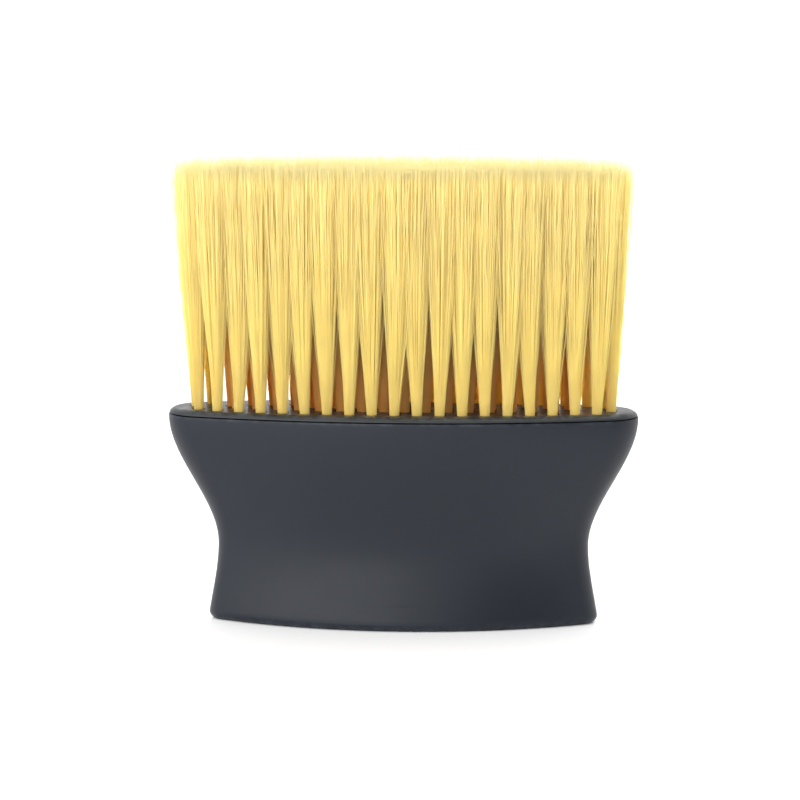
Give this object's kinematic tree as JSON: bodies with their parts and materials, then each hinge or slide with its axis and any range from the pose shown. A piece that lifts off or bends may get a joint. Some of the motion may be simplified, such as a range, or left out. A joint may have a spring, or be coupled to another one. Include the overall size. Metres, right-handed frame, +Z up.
{
  "type": "neck duster brush",
  "caption": "Wide flat barber's neck duster: waisted hollow moulded handle closed by a drilled plate that carries a dense block of soft trimmed bristle tufts.",
  "frame": {"origin": "middle of the flat base, on the surface the brush stands on", "axes": "+Z up from the base to the bristle tips, +X along the brush's width, -Y to the front"},
  "size_m": [0.115, 0.0324, 0.113],
  "materials": {
    "handle": "satin moulded black ABS with a fine spark texture",
    "plate": "smooth moulded black ABS, a little glossier than the handle",
    "bristle": "fine crimped-free nylon filament, pale yellow, soft and translucent at the tips"
  },
  "bodies": {
    "root": {"centre_tuft_01": "bristle", "centre_tuft_02": "bristle", "centre_tuft_03": "bristle", "centre_tuft_04": "bristle", "centre_tuft_05": "bristle", "centre_tuft_06": "bristle", "centre_tuft_07": "bristle", "centre_tuft_08": "bristle", "centre_tuft_09": "bristle", "handle_shell": "handle", "inner_ring_tufts": "bristle", "outer_tuft_01": "bristle", "outer_tuft_02": "bristle", "outer_tuft_03": "bristle", "outer_tuft_04": "bristle", "outer_tuft_05": "bristle", "outer_tuft_06": "bristle", "outer_tuft_07": "bristle", "outer_tuft_08": "bristle", "outer_tuft_09": "bristle", "outer_tuft_10": "bristle", "outer_tuft_11": "bristle", "outer_tuft_12": "bristle", "outer_tuft_13": "bristle", "outer_tuft_14": "bristle", "outer_tuft_15": "bristle", "outer_tuft_16": "bristle", "outer_tuft_17": "bristle", "outer_tuft_18": "bristle", "outer_tuft_19": "bristle", "outer_tuft_20": "bristle", "outer_tuft_21": "bristle", "outer_tuft_22": "bristle", "outer_tuft_23": "bristle", "outer_tuft_24": "bristle", "outer_tuft_25": "bristle", "outer_tuft_26": "bristle", "outer_tuft_27": "bristle", "outer_tuft_28": "bristle", "outer_tuft_29": "bristle", "outer_tuft_30": "bristle", "outer_tuft_31": "bristle", "outer_tuft_32": "bristle", "outer_tuft_33": "bristle", "outer_tuft_34": "bristle", "outer_tuft_35": "bristle", "outer_tuft_36": "bristle", "outer_tuft_37": "bristle", "outer_tuft_38": "bristle", "outer_tuft_39": "bristle", "outer_tuft_40": "bristle", "tuft_plate": "plate"}
  },
  "joints": []
}
